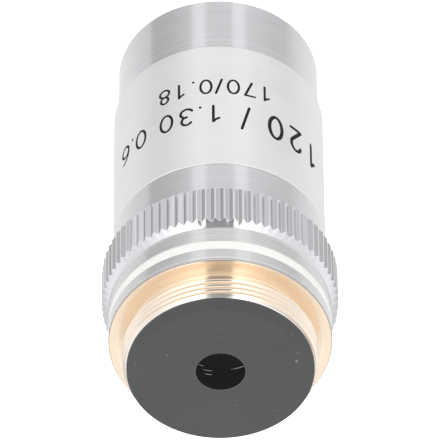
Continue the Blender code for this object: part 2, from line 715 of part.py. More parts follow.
def front_lens(glass):
    """A ball lens with a flat front face."""
    steps = 5
    centre_z = TIP_Z + EDGE / 4 + FRONT_LENS_HEIGHT - FRONT_LENS_R
    drop = (TIP_Z + EDGE / 4 - centre_z) / FRONT_LENS_R
    lowest = math.asin(drop)
    outline = [(0.0, TIP_Z + EDGE / 4)]
    for i in range(steps + 1):
        angle = lowest + (math.pi / 2 - lowest) * i / steps
        outline.append((FRONT_LENS_R * math.cos(angle), centre_z + FRONT_LENS_R * math.sin(angle)))
    outline[-1] = (0.0, centre_z + FRONT_LENS_R)
    return make_object("front_lens", spun(outline, INNER_SEGMENTS, closed=False), glass)


def lens_cell(name, bottom_z, length, lens_r, lip_length, flare, material):
    """A cell: a lip at the front for the lens to sit on, and a flared rear mouth."""
    top_z = bottom_z + length
    lip_r = lens_r - LENS_LIP
    outline = [
        (lip_r, bottom_z),
        (CELL_R, bottom_z),
        (CELL_R, top_z),
        (lens_r + flare, top_z),
        (lens_r + LENS_SEAT_GAP, top_z - flare),
        (lens_r + LENS_SEAT_GAP, bottom_z + lip_length),
        (lip_r, bottom_z + lip_length),
    ]
    return turned(name, outline, material)


def meniscus_group(black_brass, glass):
    """The lens behind the front lens, hollow on its front side."""
    front_z = CELL_1_Z + MENISCUS_LIP_LENGTH + LENS_SEAT_GAP + sag(MENISCUS_R, MENISCUS_FRONT_CURVE)
    rear_z = front_z + MENISCUS_MIDDLE
    lens_cell("meniscus_cell", CELL_1_Z, MENISCUS_CELL_LENGTH, MENISCUS_R,
              MENISCUS_LIP_LENGTH, MENISCUS_FLARE, black_brass)
    lens("meniscus_lens", MENISCUS_R, (front_z, MENISCUS_FRONT_CURVE, -1),
         (rear_z, MENISCUS_REAR_CURVE, -1), glass)


def front_doublet_group(black_brass, crown_glass, flint_glass):
    """A flat-fronted flint cemented to a thick crown."""
    cement_curve = DOUBLET_A_R * DOUBLET_A_CEMENT_BEND
    rear_curve = DOUBLET_A_R * DOUBLET_A_REAR_BEND
    front_z = CELL_2_Z + DOUBLET_A_LIP_LENGTH + LENS_SEAT_GAP
    flint_rear_z = front_z + LENS_MIDDLE
    crown_front_z = flint_rear_z + CEMENT_GAP
    crown_middle = sag(DOUBLET_A_R, cement_curve) + LENS_EDGE + sag(DOUBLET_A_R, rear_curve)
    lens_cell("doublet_cell_a", CELL_2_Z, DOUBLET_A_CELL_LENGTH, DOUBLET_A_R,
              DOUBLET_A_LIP_LENGTH, DOUBLET_A_FLARE, black_brass)
    lens("flint_lens_a", DOUBLET_A_R, (front_z, None, 0), (flint_rear_z, cement_curve, 1), flint_glass)
    lens("crown_lens_a", DOUBLET_A_R, (crown_front_z, cement_curve, 1),
         (crown_front_z + crown_middle, rear_curve, -1), crown_glass)


def rear_doublet_group(black_brass, crown_glass, flint_glass):
    """A crown that is rounded on both sides, cemented to a hollow flint."""
    front_curve = DOUBLET_B_R * DOUBLET_B_FRONT_BEND
    cement_curve = DOUBLET_B_R * DOUBLET_B_CEMENT_BEND
    rear_curve = DOUBLET_B_R * DOUBLET_B_REAR_BEND
    lip_sag = sag(DOUBLET_B_R - LENS_LIP, front_curve)
    front_z = CELL_3_Z + DOUBLET_B_LIP_LENGTH + LENS_SEAT_GAP - lip_sag
    crown_rear_z = front_z + sag(DOUBLET_B_R, front_curve) + LENS_EDGE + sag(DOUBLET_B_R, cement_curve)
    flint_front_z = crown_rear_z + CEMENT_GAP
    lens_cell("doublet_cell_b", CELL_3_Z, DOUBLET_B_CELL_LENGTH, DOUBLET_B_R,
              DOUBLET_B_LIP_LENGTH, DOUBLET_B_FLARE, black_brass)
    lens("crown_lens_b", DOUBLET_B_R, (front_z, front_curve, 1),
         (crown_rear_z, cement_curve, -1), crown_glass)
    lens("flint_lens_b", DOUBLET_B_R, (flint_front_z, cement_curve, -1),
         (flint_front_z + LENS_MIDDLE, rear_curve, -1), flint_glass)


def spacer_tube(black_brass):
    """Keeps the two doublets the right distance apart."""
    outline = [
        (CELL_R - SPACER_WALL, SPACER_Z),
        (CELL_R, SPACER_Z),
        (CELL_R, SPACER_Z + SPACER_LENGTH),
        (CELL_R - SPACER_WALL, SPACER_Z + SPACER_LENGTH),
    ]
    return turned("spacer_tube", outline, black_brass)


def rear_baffle(black_brass):
    """The stop tube behind the last doublet; its lip is the rear aperture."""
    bore_r = CELL_R - BAFFLE_WALL
    lip_z = BAFFLE_TOP_Z - BAFFLE_LIP_DROP
    outline = [
        (bore_r, BAFFLE_Z),
        (CELL_R, BAFFLE_Z),
        (CELL_R, BAFFLE_TOP_Z),
        (bore_r, BAFFLE_TOP_Z),
        (bore_r, lip_z + BAFFLE_LIP_LENGTH),
        (bore_r - BAFFLE_LIP, lip_z + BAFFLE_LIP_LENGTH),
        (bore_r - BAFFLE_LIP, lip_z),
        (bore_r, lip_z),
    ]
    return turned("rear_baffle", outline, black_brass)


def lens_lock_ring(black_brass):
    """The ring nut that clamps the stack of cells."""
    bore_r = CELL_R - LOCK_RING_WALL
    outline = [
        (bore_r, LOCK_RING_Z),
        (CELL_R, LOCK_RING_Z),
        (CELL_R, LOCK_RING_TOP_Z),
        (bore_r, LOCK_RING_TOP_Z),
    ]
    made = turned("lens_lock_ring", outline, black_brass)
    spanner_slots(made, bore_r, CELL_R, LOCK_RING_TOP_Z, black_brass)
    return made


def build():
    remove_old_objects()
    thread_brass = finish("thread_brass", (0.80, 0.60, 0.40), 0.25, 1.0)
    tube_brass = finish("tube_brass", (0.72, 0.54, 0.33), 0.3, 1.0)
    turned_chrome = finish("turned_chrome", (0.72, 0.73, 0.75), 0.25, 1.0)
    knurled_chrome = finish("knurled_chrome", (0.74, 0.75, 0.77), 0.22, 1.0)
    polished_chrome = finish("polished_chrome", (0.76, 0.77, 0.78), 0.15, 1.0)
    satin_chrome = finish("satin_chrome", (0.82, 0.82, 0.81), 0.42, 1.0)
    enamel = finish("white_enamel", (0.93, 0.93, 0.89), 0.35, 0.0)
    black = finish("black_anodised", (0.12, 0.12, 0.125), 0.55, 0.3)
    black_brass = finish("blackened_brass", (0.05, 0.048, 0.045), 0.5, 0.6)
    steel = finish("steel", (0.60, 0.60, 0.61), 0.3, 1.0)
    spring_steel = finish("spring_steel", (0.50, 0.50, 0.52), 0.3, 1.0)
    crown_glass = finish("crown_glass", (0.95, 0.98, 0.98), 0.02, 0.0, 1.0)
    flint_glass = finish("flint_glass", (0.98, 0.96, 0.90), 0.02, 0.0, 1.0)

    thread_mount(thread_brass)
    rear_stop_disc(black)
    mount_body(turned_chrome)
    colour_ring(enamel)
    knurled_ring(knurled_chrome)
    polished_band(polished_chrome)
    outer_barrel(satin_chrome)
    guide_screw(steel)
    parfocal_shim(steel)
    spring_retainer(black_brass)
    retraction_spring(spring_steel)
    lens_tube(tube_brass)
    nose_sleeve(polished_chrome)
    front_cap(polished_chrome)
    front_cell(steel)
    front_lens(crown_glass)
    meniscus_group(black_brass, crown_glass)
    front_doublet_group(black_brass, crown_glass, flint_glass)
    spacer_tube(black_brass)
    rear_doublet_group(black_brass, crown_glass, flint_glass)
    rear_baffle(black_brass)
    lens_lock_ring(black_brass)


build()
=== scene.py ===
"""The looks of the microscope objective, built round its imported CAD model.

Lengths in this script are in millimetres until a mesh is made. The part
stands on its nose in the studio, with the mounting thread up.
"""

import json
import math
from types import SimpleNamespace

import bmesh
import bpy
from mathutils import Matrix, Vector


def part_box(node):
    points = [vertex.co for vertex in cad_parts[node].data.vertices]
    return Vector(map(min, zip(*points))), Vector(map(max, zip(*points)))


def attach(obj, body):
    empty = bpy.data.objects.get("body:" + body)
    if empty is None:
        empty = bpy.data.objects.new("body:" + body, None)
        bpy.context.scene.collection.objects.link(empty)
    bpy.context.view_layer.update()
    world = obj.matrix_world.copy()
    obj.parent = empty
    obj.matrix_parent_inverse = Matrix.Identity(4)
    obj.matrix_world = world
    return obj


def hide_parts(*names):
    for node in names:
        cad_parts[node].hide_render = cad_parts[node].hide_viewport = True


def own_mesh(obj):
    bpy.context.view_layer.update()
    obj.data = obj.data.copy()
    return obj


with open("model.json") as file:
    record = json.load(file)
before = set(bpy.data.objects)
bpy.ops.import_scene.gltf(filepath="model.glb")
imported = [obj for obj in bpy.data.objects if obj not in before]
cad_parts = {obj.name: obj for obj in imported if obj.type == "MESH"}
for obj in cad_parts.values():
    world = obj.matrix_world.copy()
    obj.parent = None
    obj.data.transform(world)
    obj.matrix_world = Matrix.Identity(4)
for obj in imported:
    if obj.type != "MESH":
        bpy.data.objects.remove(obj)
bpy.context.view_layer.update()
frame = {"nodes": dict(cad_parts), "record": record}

MM = 0.001
SEGMENTS = 256
TURN = 2 * math.pi
WELD_DISTANCE = 1e-8


# Sizes taken from the CAD nodes

def span(name):
    """Outer radius, lowest and highest z of a CAD node, in mm."""
    low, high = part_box(name)
    return high.x / MM, low.z / MM, high.z / MM


SHOULDER_R, MOUNT_BOTTOM_Z, MOUNT_TOP_Z = span("thread_mount")
DISC_R, DISC_BOTTOM_Z, DISC_TOP_Z = span("rear_stop_disc")
BODY_R, BODY_BOTTOM_Z, BODY_TOP_Z = span("mount_body")
RING_R, RING_BOTTOM_Z, RING_TOP_Z = span("colour_ring")
KNURL_R, KNURL_BOTTOM_Z, KNURL_TOP_Z = span("knurled_ring")
BAND_R, BAND_BOTTOM_Z, BAND_TOP_Z = span("polished_band")
BARREL_R, BARREL_BOTTOM_Z, BARREL_TOP_Z = span("outer_barrel")
SPRING_R, SPRING_BOTTOM_Z, SPRING_TOP_Z = span("retraction_spring")
NOSE_R, NOSE_BOTTOM_Z, NOSE_TOP_Z = span("nose_sleeve")
CAP_R, CAP_BOTTOM_Z, CAP_TOP_Z = span("front_cap")
CELL_R, CELL_BOTTOM_Z, CELL_TOP_Z = span("front_cell")
LENS_BOTTOM_Z, LENS_TOP_Z = span("front_lens")[1:]
TUBE_R = span("lens_tube")[0]


# Sizes of the finer shapes

FIT_GAP = 0.05
FACE_GAP = 0.03

THREAD_R = 10.16
THREAD_DEPTH = 0.45
THREAD_PITCH = 0.7056
THREAD_FLANK_MIDDLE = 0.157
THREAD_FLANK_HALF = 0.184
THREAD_SEGMENTS = 288
THREAD_ROWS_PER_PITCH = 24
UNDERCUT_R = 9.57
UNDERCUT_LENGTH = 1.05
SEAT_STEP = 0.04
SEAT_STEP_SHARE = 0.41
SHOULDER_CHAMFER = 0.13
MOUNT_SPIGOT_R = 9.90
MOUNT_BORE_R = 8.61
STOP_SEAT_R = 9.01
STOP_SEAT_DEPTH = 2.5

STOP_RIM_Z = MOUNT_TOP_Z + 0.43
STOP_PLUG_R = 8.96
LIGHT_HOLE_R = 2.55
LIGHT_HOLE_BEVEL = 0.06

KNURL_TEETH = 80
KNURL_PHASE = 0.36
KNURL_DEPTH = 0.28
KNURL_HALF_LAND = 0.07
KNURL_HALF_GROOVE = 0.43
KNURL_LAND_EASE = 0.03
KNURL_BOTTOM_ROUND = 0.07

BARREL_BORE_R = BARREL_R - 0.76
BARREL_SKIRT_R = BARREL_R - 0.44


# Meshes

def solid(name, verts, faces):
    """A smooth closed mesh from points in mm."""
    mesh = bpy.data.meshes.new(name)
    mesh.from_pydata([(x * MM, y * MM, z * MM) for x, y, z in verts], [], faces)
    tool = bmesh.new()
    tool.from_mesh(mesh)
    bmesh.ops.remove_doubles(tool, verts=tool.verts, dist=WELD_DISTANCE)
    bmesh.ops.recalc_face_normals(tool, faces=tool.faces)
    tool.to_mesh(mesh)
    tool.free()
    mesh.shade_smooth()
    piece = bpy.data.objects.new(name, mesh)
    bpy.context.scene.collection.objects.link(piece)
    return piece


def skin(name, angles, outline_at, weighted=True):
    """Joins the closed (radius, z) outlines found at each angle round the axis."""
    columns = [outline_at(angle) for angle in angles]
    rows = len(columns[0])
    verts = []
    for angle, outline in zip(angles, columns):
        c, s = math.cos(angle), math.sin(angle)
        verts += [(radius * c, radius * s, z) for radius, z in outline]
    faces = []
    for i in range(len(columns)):
        here, there = i * rows, (i + 1) % len(columns) * rows
        for j in range(rows):
            k = (j + 1) % rows
            faces.append((here + j, here + k, there + k, there + j))
    piece = solid(name, verts, faces)
    if weighted:
        modifier = piece.modifiers.new("flat_faces", "WEIGHTED_NORMAL")
        modifier.weight = 80
    return piece


def soften(outline, radius):
    """Rounds the corners of a closed outline; a third number in a corner is its own radius."""
    rounded = []
    count = len(outline)
    for i, corner in enumerate(outline):
        here = Vector(corner[:2])
        reach = corner[2] if len(corner) > 2 else radius
        before = Vector(outline[i - 1][:2]) - here
        after = Vector(outline[(i + 1) % count][:2]) - here
        reach = min(reach, 0.4 * before.length, 0.4 * after.length)
        start = here + before.normalized() * reach
        end = here + after.normalized() * reach
        for t in (0, 1 / 3, 2 / 3, 1):
            point = (1 - t) ** 2 * start + 2 * t * (1 - t) * here + t * t * end
            rounded.append((point.x, point.y))
    return rounded


def round_angles(count=SEGMENTS):
    return [TURN * i / count for i in range(count)]


def lathe(name, outline, radius=0.02):
    softened = soften(outline, radius)
    return skin(name, round_angles(), lambda angle: softened)


DRESSED = set()


def dress(piece, body, slot, *nodes, material=None):
    """Puts a finished piece on its body, in place of the CAD nodes."""
    piece.data.materials.append(material or MATERIALS[slot])
    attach(piece, body)
    if nodes:
        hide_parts(*nodes)
        DRESSED.update(nodes)
    return piece


# Shader nodes

def add(tree, kind, inputs=None, **settings):
    made = tree.nodes.new(kind)
    for key, value in settings.items():
        setattr(made, key, value)
    for key, value in (inputs or {}).items():
        socket = made.inputs[key]
        if isinstance(value, bpy.types.NodeSocket):
            tree.links.new(value, socket)
        else:
            socket.default_value = value
    return made


def calc(tree, operation, *values):
    made = add(tree, "ShaderNodeMath", dict(enumerate(values)), operation=operation)
    return made.outputs[0]


def remap(tree, value, low, high, to_low=0.0, to_high=1.0, smooth=False):
    inputs = {"Value": value, "From Min": low, "From Max": high, "To Min": to_low, "To Max": to_high}
    kind = "SMOOTHSTEP" if smooth else "LINEAR"
    return add(tree, "ShaderNodeMapRange", inputs, interpolation_type=kind).outputs["Result"]


def zone(tree, length, start, end, top=1.0):
    """Grows from 0 to top while a length goes from start to end, in mm."""
    return remap(tree, length, start * MM, end * MM, 0.0, top)


def weigh(tree, first, second, share):
    """A mix that takes this share of the first value and the rest of the second."""
    rest = calc(tree, "MULTIPLY", second, 1 - share)
    return calc(tree, "ADD", calc(tree, "MULTIPLY", first, share), rest)


def noise(tree, scale, detail, **inputs):
    """Mottle over a Vector, or along a W."""
    dimensions = "1D" if "W" in inputs else "3D"
    inputs = {"Scale": scale, "Detail": detail, **inputs}
    return add(tree, "ShaderNodeTexNoise", inputs, noise_dimensions=dimensions).outputs["Fac"]


def bump(tree, height, depth, strength=1.0, **inputs):
    """The normal of a relief that is this deep, in mm."""
    inputs = {"Strength": strength, "Distance": depth * MM, "Height": height, **inputs}
    return add(tree, "ShaderNodeBump", inputs).outputs[0]


def tint(tree, factor, first, second, blend="MIX"):
    inputs = {"Factor": factor, 6: first, 7: second}
    made = add(tree, "ShaderNodeMix", inputs, data_type="RGBA", blend_type=blend)
    return made.outputs[2]


def lay(tree, base, *coats):
    """Lays (factor, colour) coats over a base, one after the other."""
    for factor, colour in coats:
        base = tint(tree, factor, base, colour)
    return base


def shader(name, **values):
    """A new material, its tree and its Principled shader with uniform values set on the sockets."""
    material = bpy.data.materials.new(name)
    material.use_nodes = True
    tree = material.node_tree
    principled = tree.nodes["Principled BSDF"]
    for key, value in values.items():
        principled.inputs[key.replace("_", " ")].default_value = value
    return material, tree, principled


def connect(tree, principled, **sources):
    for key, source in sources.items():
        tree.links.new(source, principled.inputs[key.replace("_", " ")])


def source_of(principled, name):
    return principled.inputs[name].links[0].from_socket


def rgba(colour, gain=1.0):
    return (colour[0] * gain, colour[1] * gain, colour[2] * gain, 1.0)


def position(tree):
    """The place on the piece, with its x, y, z and distance from the axis."""
    place = add(tree, "ShaderNodeTexCoord").outputs["Object"]
    x, y, z = add(tree, "ShaderNodeSeparateXYZ", {0: place}).outputs
    square = calc(tree, "ADD", calc(tree, "MULTIPLY", x, x), calc(tree, "MULTIPLY", y, y))
    return SimpleNamespace(place=place, x=x, y=y, z=z, radius=calc(tree, "SQRT", square))


def reopen(material):
    """What a finished material needs for more coats: its tree, shader, position and colour."""
    tree = material.node_tree
    principled = tree.nodes["Principled BSDF"]
    return tree, principled, position(tree), source_of(principled, "Base Color")


# Materials

WHITE = (1, 1, 1, 1)
PLATING = (0.76, 0.76, 0.768)
TURNED_GLOSS_SPREAD = 0.10
COAT_GLOSS_SPREAD = 0.12
METAL_CLOUD_SCALE = 260.0
METAL_GRAIN_SCALE = 9000.0


def turned_metal(name, colour, roughness, lines, height, anisotropic=0.6, shade=0.06):
    """Metal with the fine rings that a lathe leaves.

    lines is how many rings there are to a millimetre, height how deep they
    are in mm, and shade how much the colour changes from ring to ring. The
    rings follow a length that grows both along the axis and outwards, so
    that they cross every turned face.
    """
    material, tree, principled = shader(name, Metallic=1.0, Anisotropic=anisotropic,
                                        Anisotropic_Rotation=0.25)
    at = position(tree)
    along = calc(tree, "MULTIPLY", calc(tree, "MULTIPLY_ADD", at.radius, 1.37, at.z), 1 / MM)
    fine = noise(tree, lines, 2.0, W=along, Roughness=0.6)
    broad = noise(tree, lines * 0.22, 1.0, W=along)
    cloud = noise(tree, METAL_CLOUD_SCALE, 3.0, Vector=at.place)
    grain = noise(tree, METAL_GRAIN_SCALE, 1.0, Vector=at.place)
    rings = weigh(tree, fine, broad, 0.7)
    gloss = weigh(tree, rings, cloud, 0.6)
    spread = TURNED_GLOSS_SPREAD / 2
    worn = remap(tree, weigh(tree, rings, cloud, 0.75), 0.32, 0.68)
    brightest = min(1.0 + shade, 1 / max(colour))
    tangent = add(tree, "ShaderNodeTangent", direction_type="RADIAL", axis="Z")
    connect(
        tree, principled,
        Roughness=remap(tree, gloss, 0.3, 0.7, roughness - spread, roughness + spread),
        Base_Color=tint(tree, worn, rgba(colour, 1 - shade), rgba(colour, brightest)),
        Normal=bump(tree, calc(tree, "MULTIPLY_ADD", grain, 0.15, rings), height),
        Tangent=tangent.outputs[0],
    )
    return material


def plain_coat(name, colour, roughness, cloud_scale, grain_scale, height, metallic=0.0, shade=0.1, painted_glow=0.0,
               specular=0.5):
    """Paint, blackening or drawn wire: a soft mottle in colour and gloss over a fine grain, with any white
    glow painted light.
    """
    material, tree, principled = shader(name, Metallic=metallic, Specular_IOR_Level=specular,
                                        Emission_Strength=painted_glow, Emission_Color=WHITE)
    place = position(tree).place
    cloud = noise(tree, cloud_scale, 4.0, Vector=place)
    grain = noise(tree, grain_scale, 2.0, Vector=place)
    worn = remap(tree, cloud, 0.35, 0.65)
    gloss = calc(tree, "MULTIPLY_ADD", grain, 0.5, cloud)
    spread = COAT_GLOSS_SPREAD / 2
    connect(
        tree, principled,
        Base_Color=tint(tree, worn, rgba(colour, 1 - shade), rgba(colour, 1 + shade)),
        Roughness=remap(tree, gloss, 0.5, 1.0, roughness - spread, roughness + spread),
        Normal=bump(tree, grain, height),
    )
    return material


def glass(name, colour, ior):
    """Polished lens glass with the faint bloom of its coating."""
    material, tree, principled = shader(name, Roughness=0.0, IOR=ior, Transmission_Weight=1.0)
    bloom = noise(tree, 500.0, 2.0, Vector=position(tree).place)
    connect(
        tree, principled,
        Roughness=remap(tree, bloom, 0.3, 0.7, 0.0, 0.03),
        Base_Color=tint(tree, bloom, rgba(colour), rgba(colour, 0.94)),
    )
    return material


def dusty_black():
    """Matt anodised black with pale specks.

    A darker rim on one side is painted shade, the lighter edge at the light
    hole a painted highlight and the near-black wall of the hole painted
    shade. A faint white glow is painted light.
    """
    # the faint white emission is painted light that lifts the black
    material, tree, principled = shader("black_anodised", Emission_Strength=0.012, Emission_Color=WHITE)
    at = position(tree)
    grain = noise(tree, 6000.0, 2.0, Vector=at.place)
    cloud = noise(tree, 180.0, 4.0, Vector=at.place, Distortion=0.6)
    cells = add(tree, "ShaderNodeTexVoronoi", {"Vector": at.place, "Scale": 900.0, "Randomness": 1.0},
                feature="F1")
    pick = add(tree, "ShaderNodeSeparateColor", {0: cells.outputs["Color"]}).outputs
    chosen = calc(tree, "GREATER_THAN", pick[0], 0.88)
    size = remap(tree, pick[1], 0.0, 1.0, 0.05, 0.16)
    spot = remap(tree, calc(tree, "SUBTRACT", size, cells.outputs["Distance"]), 0.0, 0.03)
    speck = calc(tree, "MULTIPLY", chosen, calc(tree, "MULTIPLY", spot, pick[2]))
    # a darker band round the rim on one side only: painted shade
    rim = zone(tree, at.radius, 8.42, 8.54)
    shaded_side = zone(tree, at.y, -2, -7, 0.16)
    # a lighter ring at the edge of the light hole: painted highlight
    hole_edge_highlight = zone(tree, at.radius, LIGHT_HOLE_R + 0.13, LIGHT_HOLE_R + 0.09, 0.6)
    outside = zone(tree, at.radius, LIGHT_HOLE_R + 0.02, LIGHT_HOLE_R + 0.05)
    base = tint(tree, remap(tree, cloud, 0.35, 0.7), (0.050, 0.051, 0.052, 1), (0.061, 0.062, 0.063, 1))
    base = lay(
        tree, base,
        (calc(tree, "MULTIPLY", speck, 0.7), (0.45, 0.45, 0.44, 1)),
        (calc(tree, "MULTIPLY", rim, shaded_side), (0, 0, 0, 1)),
        (hole_edge_highlight, (0.13, 0.13, 0.13, 1)),
    )
    # inside the light hole the wall is painted near black and without gloss: painted shade
    connect(
        tree, principled,
        Base_Color=tint(tree, outside, (0.005, 0.005, 0.005, 1), base),
        Specular_IOR_Level=calc(tree, "MULTIPLY", outside, 0.5),
        Roughness=remap(tree, calc(tree, "MULTIPLY_ADD", grain, 0.4, cloud), 0.4, 1.0, 0.50, 0.66),
        Normal=bump(tree, calc(tree, "ADD", grain, speck), 0.004, 0.6),
    )
    return material


def thread_brass():
    """Bare turned brass with a dull flat shoulder, painted shade in the thread's roots and a paler end.

    Below the thread the brass is painted darker towards the thread: painted shade and bounced light.
    The shoulder's chamfer is darker and duller, and the wall below it plated.
    """
    material = turned_metal("thread_brass", (0.94, 0.83, 0.715), 0.17, 4.0, 0.003, shade=0.04)
    tree, principled, at, base = reopen(material)
    undercut = zone(tree, at.radius, UNDERCUT_R + 0.15, UNDERCUT_R + 0.07)
    # the thread's roots are painted darker: painted shade
    root_shade = calc(tree, "MULTIPLY", zone(tree, at.radius, THREAD_R - 0.24, THREAD_R - 0.36),
                zone(tree, at.z, UNDERCUT_LENGTH + 0.05, UNDERCUT_LENGTH + 0.15))
    end = zone(tree, at.z, MOUNT_TOP_Z - 0.16, MOUNT_TOP_Z - 0.10)
    below_thread = zone(tree, at.z, 0.10, 0.02)
    # the shoulder's chamfer is darker and duller
    chamfer = zone(tree, at.z, -SEAT_STEP - 0.005, -SEAT_STEP - 0.015)
    wall = zone(tree, at.z, 0.005 - SHOULDER_CHAMFER, -0.005 - SHOULDER_CHAMFER)
    # below the thread the brass is painted darker and deeper in colour towards the thread: painted shade
    # and bounced light
    outer = zone(tree, at.radius, SHOULDER_R - 1.23, SHOULDER_R - 0.63)
    seat = tint(tree, outer, (0.99, 0.875, 0.745, 1), (0.94, 0.79, 0.625, 1))
    base = lay(
        tree, base,
        (undercut, (0.90, 0.775, 0.635, 1)),
        (root_shade, (0.44, 0.32, 0.24, 1)),
        (end, (0.92, 0.88, 0.83, 1)),
        (below_thread, seat),
        (chamfer, (0.46, 0.38, 0.33, 1)),
        (wall, rgba(PLATING)),
    )
    flat = calc(tree, "SUBTRACT", below_thread, chamfer)
    rough = calc(tree, "MULTIPLY_ADD", flat, 0.05, source_of(principled, "Roughness"))
    rough = calc(tree, "MULTIPLY_ADD", calc(tree, "SUBTRACT", chamfer, wall), 0.35, rough)
    stretch = remap(tree, flat, 0.0, 1.0, 0.6, 0.9)
    connect(tree, principled, Base_Color=base, Roughness=rough, Anisotropic=stretch)
    return material


def plated_body():
    """Plated and turned, darker on the narrow step round the brass shoulder."""
    material = turned_metal("turned_chrome", PLATING, 0.22, 3.2, 0.004, shade=0.08)
    tree, principled, at, base = reopen(material)
    step = zone(tree, at.z, BODY_TOP_Z - 0.02, BODY_TOP_Z - 0.01)
    connect(tree, principled, Base_Color=lay(tree, base, (step, (0.50, 0.48, 0.46, 1))))
    return material


def knurled_metal():
    """Plated knurl: fine marks along the grooves, painted shade on one flank of each tooth, painted
    highlights on the lands.
    """
    material = turned_metal("knurled_chrome", (0.78, 0.79, 0.81), 0.13, 5.0, 0.001, anisotropic=0.3,
                            shade=0.04)
    tree, principled, at, base = reopen(material)
    normal = add(tree, "ShaderNodeTexCoord").outputs["Normal"]
    normal_x, normal_y, tilt = add(tree, "ShaderNodeSeparateXYZ", {0: normal}).outputs
    upright = remap(tree, calc(tree, "ABSOLUTE", tilt), 0.2, 0.45, 1.0, 0.0)
    around = calc(tree, "ARCTAN2", at.y, at.x)
    side = calc(tree, "SUBTRACT", calc(tree, "MULTIPLY", normal_y, calc(tree, "COSINE", around)),
                calc(tree, "MULTIPLY", normal_x, calc(tree, "SINE", around)))
    # one flank of each tooth, picked by which way it faces, is painted darker: painted shade
    flank_shade = remap(tree, side, 0.2, 0.5, 0.0, 0.25)
    # the lands at the crest are painted brighter: painted highlight
    land_highlight = zone(tree, at.radius, KNURL_R - 0.03, KNURL_R - 0.005)
    streaks = noise(tree, 9.0, 2.0, W=calc(tree, "MULTIPLY", around, KNURL_R), Roughness=0.7)
    marked = tint(tree, remap(tree, streaks, 0.3, 0.7), (0.86, 0.86, 0.87, 1), WHITE)
    base = tint(tree, calc(tree, "MULTIPLY", upright, 0.8), base, marked, blend="MULTIPLY")
    base = lay(
        tree, base,
        (calc(tree, "MULTIPLY", upright, flank_shade), (0.22, 0.22, 0.23, 1)),
        (calc(tree, "MULTIPLY", upright, land_highlight), (0.85, 0.85, 0.87, 1)),
    )
    rings = source_of(principled, "Normal")
    marks = bump(tree, calc(tree, "MULTIPLY", streaks, upright), 0.006, Normal=rings)
    connect(tree, principled, Base_Color=base, Normal=marks)
    return material


MATERIALS = {
    "thread_brass": thread_brass(),
    "tube_brass": turned_metal("tube_brass", (0.72, 0.54, 0.33), 0.32, 5.0, 0.003),
    "turned_chrome": plated_body(),
    "knurled_chrome": knurled_metal(),
    "polished_chrome": turned_metal("polished_chrome", (0.755, 0.765, 0.785), 0.16, 4.0, 0.002, shade=0.05),
    "satin_chrome": turned_metal("satin_chrome", (0.84, 0.84, 0.844), 0.43, 5.0, 0.003, anisotropic=0.4,
                                 shade=0.02),
    "white_enamel": plain_coat("white_enamel", (0.862, 0.867, 0.832), 0.25, 400.0, 3000.0, 0.001,
                               shade=0.01),
    "black_anodised": dusty_black(),
    # the blackened brass glows faintly white: painted light
    "blackened_brass": plain_coat("blackened_brass", (0.10, 0.10, 0.10), 0.60, 500.0, 5000.0, 0.002,
                                  shade=0.2, painted_glow=0.012),
    "steel": turned_metal("steel", (0.60, 0.60, 0.61), 0.28, 6.0, 0.003),
    "spring_steel": plain_coat("spring_steel", (0.42, 0.42, 0.44), 0.34, 800.0, 6000.0, 0.002,
                               metallic=1.0),
    "crown_glass": glass("crown_glass", (0.96, 0.99, 0.99), 1.52),
    "flint_glass": glass("flint_glass", (0.99, 0.98, 0.94), 1.65),
}
FIGURE_PAINT = plain_coat("figure_paint", (0.008, 0.008, 0.009), 0.60, 900.0, 5000.0, 0.002, shade=0.2,
                          specular=0.2)
# pale and glowing white, for the painted glints in the light hole: painted light
PAINTED_GLINT_COAT = plain_coat("painted_glint_coat", (0.55, 0.55, 0.55), 0.5, 900.0, 6000.0, 0.001, painted_glow=0.15)
DUST_GREY = plain_coat("dust_grey", (0.34, 0.34, 0.33), 0.8, 900.0, 6000.0, 0.001, shade=0.3)


# Thread mount

def thread_radius(angle, z):
    """Rounded right-handed thread with chamfered ends."""
    turn = ((z - UNDERCUT_LENGTH) / THREAD_PITCH - angle / TURN) % 1.0
    from_groove = min(turn, 1 - turn) * THREAD_PITCH
    swing = max(-1.0, min(1.0, (from_groove - THREAD_FLANK_MIDDLE) / THREAD_FLANK_HALF))
    radius = THREAD_R - THREAD_DEPTH / 2 + THREAD_DEPTH / 2 * math.sin(swing * math.pi / 2)
    end_chamfer = DISC_R + FIT_GAP + (MOUNT_TOP_Z - z)
    start_chamfer = THREAD_R + 2 * (z - UNDERCUT_LENGTH)
    return min(radius, end_chamfer, start_chamfer)


def thread_mount():
    start_z = UNDERCUT_LENGTH - (THREAD_R - UNDERCUT_R) / 2
    rows = round((MOUNT_TOP_Z - start_z) / THREAD_PITCH * THREAD_ROWS_PER_PITCH)
    heights = [start_z + (MOUNT_TOP_Z - start_z) * i / rows for i in range(rows + 1)]
    seat_inner_r = UNDERCUT_R + SEAT_STEP_SHARE * (SHOULDER_R - UNDERCUT_R)
    stop_seat_z = MOUNT_TOP_Z - STOP_SEAT_DEPTH
    rest = [
        (UNDERCUT_R, start_z - 0.01, 0.0),
        (UNDERCUT_R, -SEAT_STEP, 0.06),
        (seat_inner_r, -SEAT_STEP),
        (seat_inner_r, 0.0),
        (SHOULDER_R - SHOULDER_CHAMFER, 0.0, 0.03),
        (SHOULDER_R, -SHOULDER_CHAMFER, 0.02),
        (SHOULDER_R, BODY_TOP_Z + FACE_GAP, 0.0),
        (MOUNT_SPIGOT_R, BODY_TOP_Z + FACE_GAP),
        (MOUNT_SPIGOT_R, MOUNT_BOTTOM_Z, 0.1),
        (MOUNT_BORE_R, MOUNT_BOTTOM_Z),
        (MOUNT_BORE_R, stop_seat_z),
        (STOP_SEAT_R, stop_seat_z),
        (STOP_SEAT_R, MOUNT_TOP_Z, 0.0),
    ]
    lower = soften(rest, 0.015)

    def outline(angle):
        return [(thread_radius(angle, z), z) for z in reversed(heights)] + lower

    return skin("thread_mount_turned", round_angles(THREAD_SEGMENTS), outline, weighted=False)


